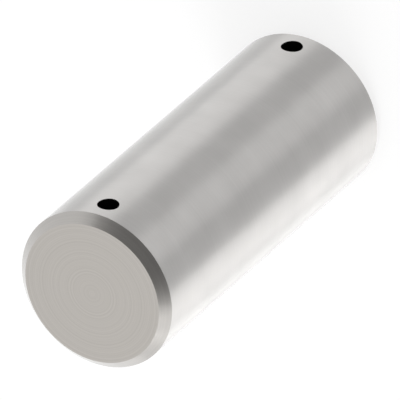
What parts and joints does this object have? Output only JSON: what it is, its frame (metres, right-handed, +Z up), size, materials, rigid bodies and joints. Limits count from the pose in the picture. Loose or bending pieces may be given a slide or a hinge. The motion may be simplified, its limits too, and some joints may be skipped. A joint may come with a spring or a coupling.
{
  "type": "actuator pin",
  "caption": "Plain round steel pin with chamfered ends and a cross hole near each end, for joining an actuator's eye to a fork.",
  "frame": {"origin": "centre of the bottom end face, on which the pin stands", "axes": "+Z up along the pin's axis, +X along both cross holes, +Y completes the right hand"},
  "size_m": [0.0254, 0.0254, 0.0635],
  "materials": {
    "ground_steel": "ground shank, turned end faces and chamfers"
  },
  "bodies": {
    "root": {"pin": "ground_steel"}
  },
  "joints": []
}
